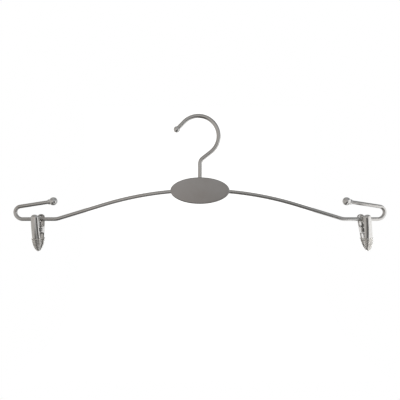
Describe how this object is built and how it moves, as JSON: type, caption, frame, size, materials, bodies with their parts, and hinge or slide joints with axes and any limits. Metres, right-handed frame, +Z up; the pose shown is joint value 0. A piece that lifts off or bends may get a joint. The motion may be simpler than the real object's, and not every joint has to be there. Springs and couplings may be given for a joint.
{
  "type": "delicates hanger",
  "caption": "Bent-wire delicates hanger with a swivelling hook, an oval centre plate, looped strap ends and sprung clips that slide on the wire.",
  "frame": {"origin": "the rail seat, the highest point inside the round of the hook, where a wardrobe rail carries the hanger", "axes": "+X along the hanger to the right as seen from the front, -Y towards the viewer, +Z up"},
  "size_m": [0.305, 0.0164, 0.1121],
  "materials": {
    "hook": "satin",
    "hook_tip_ball": "polished",
    "hook_stem_head": "satin",
    "swivel_bracket": "satin",
    "frame_wire": "satin",
    "left_end_ball": "polished",
    "right_end_ball": "polished",
    "front_plate": "satin",
    "rear_plate": "satin",
    "plate_screw_left": "satin",
    "plate_screw_right": "satin",
    "left_bar_sleeve": "smooth",
    "left_rear_leaf": "polished",
    "left_rear_grip_cap": "clear",
    "left_pivot_pin": "satin",
    "left_torsion_spring": "bright",
    "left_front_leaf": "polished",
    "left_front_grip_cap": "clear",
    "right_bar_sleeve": "smooth",
    "right_rear_leaf": "polished",
    "right_rear_grip_cap": "clear",
    "right_pivot_pin": "satin",
    "right_torsion_spring": "bright",
    "right_front_leaf": "polished",
    "right_front_grip_cap": "clear"
  },
  "bodies": {
    "hook": {"hook": "hook", "hook_tip_ball": "hook_tip_ball", "hook_stem_head": "hook_stem_head"},
    "hanger": {"frame_wire": "frame_wire", "left_end_ball": "left_end_ball", "right_end_ball": "right_end_ball", "front_plate": "front_plate", "rear_plate": "rear_plate", "plate_screw_left": "plate_screw_left", "plate_screw_right": "plate_screw_right", "swivel_bracket": "swivel_bracket"},
    "left_slider": {"left_bar_sleeve": "left_bar_sleeve"},
    "left_clip": {"left_rear_leaf": "left_rear_leaf", "left_rear_grip_cap": "left_rear_grip_cap", "left_pivot_pin": "left_pivot_pin", "left_torsion_spring": "left_torsion_spring"},
    "left_jaw": {"left_front_leaf": "left_front_leaf", "left_front_grip_cap": "left_front_grip_cap"},
    "right_slider": {"right_bar_sleeve": "right_bar_sleeve"},
    "right_clip": {"right_rear_leaf": "right_rear_leaf", "right_rear_grip_cap": "right_rear_grip_cap", "right_pivot_pin": "right_pivot_pin", "right_torsion_spring": "right_torsion_spring"},
    "right_jaw": {"right_front_leaf": "right_front_leaf", "right_front_grip_cap": "right_front_grip_cap"}
  },
  "joints": [
    {"name": "hook_swivel", "type": "hinge", "parent": "hook", "child": "hanger", "pos_m": [0.0013, 0, -0.0595], "axis": [0, 0, 1], "continuous": true},
    {"name": "left_clip_slide", "type": "slide", "parent": "hanger", "child": "left_slider", "axis": [1, 0, 0], "range_m": [-0.0074, 0.0116]},
    {"name": "left_clip_swing", "type": "hinge", "parent": "left_slider", "child": "left_clip", "pos_m": [-0.1313, 0, -0.0827], "axis": [1, 0, 0], "range_deg": [-120, 120]},
    {"name": "left_jaw_open", "type": "hinge", "parent": "left_clip", "child": "left_jaw", "pos_m": [-0.13116, 0, -0.0914], "axis": [-0.9999, 0, -0.0157], "range_deg": [0, 24], "stiffness_Nm_per_rad": 0.08, "springref_deg": -45.84, "deforming": ["left_torsion_spring"]},
    {"name": "right_clip_slide", "type": "slide", "parent": "hanger", "child": "right_slider", "axis": [1, 0, 0], "range_m": [-0.0133, 0.0057]},
    {"name": "right_clip_swing", "type": "hinge", "parent": "right_slider", "child": "right_clip", "pos_m": [0.1356, 0, -0.0827], "axis": [1, 0, 0], "range_deg": [-120, 120]},
    {"name": "right_jaw_open", "type": "hinge", "parent": "right_clip", "child": "right_jaw", "pos_m": [0.13669, 0, -0.09133], "axis": [-0.9921, 0, -0.1253], "range_deg": [0, 24], "stiffness_Nm_per_rad": 0.08, "springref_deg": -45.84, "deforming": ["right_torsion_spring"]}
  ]
}
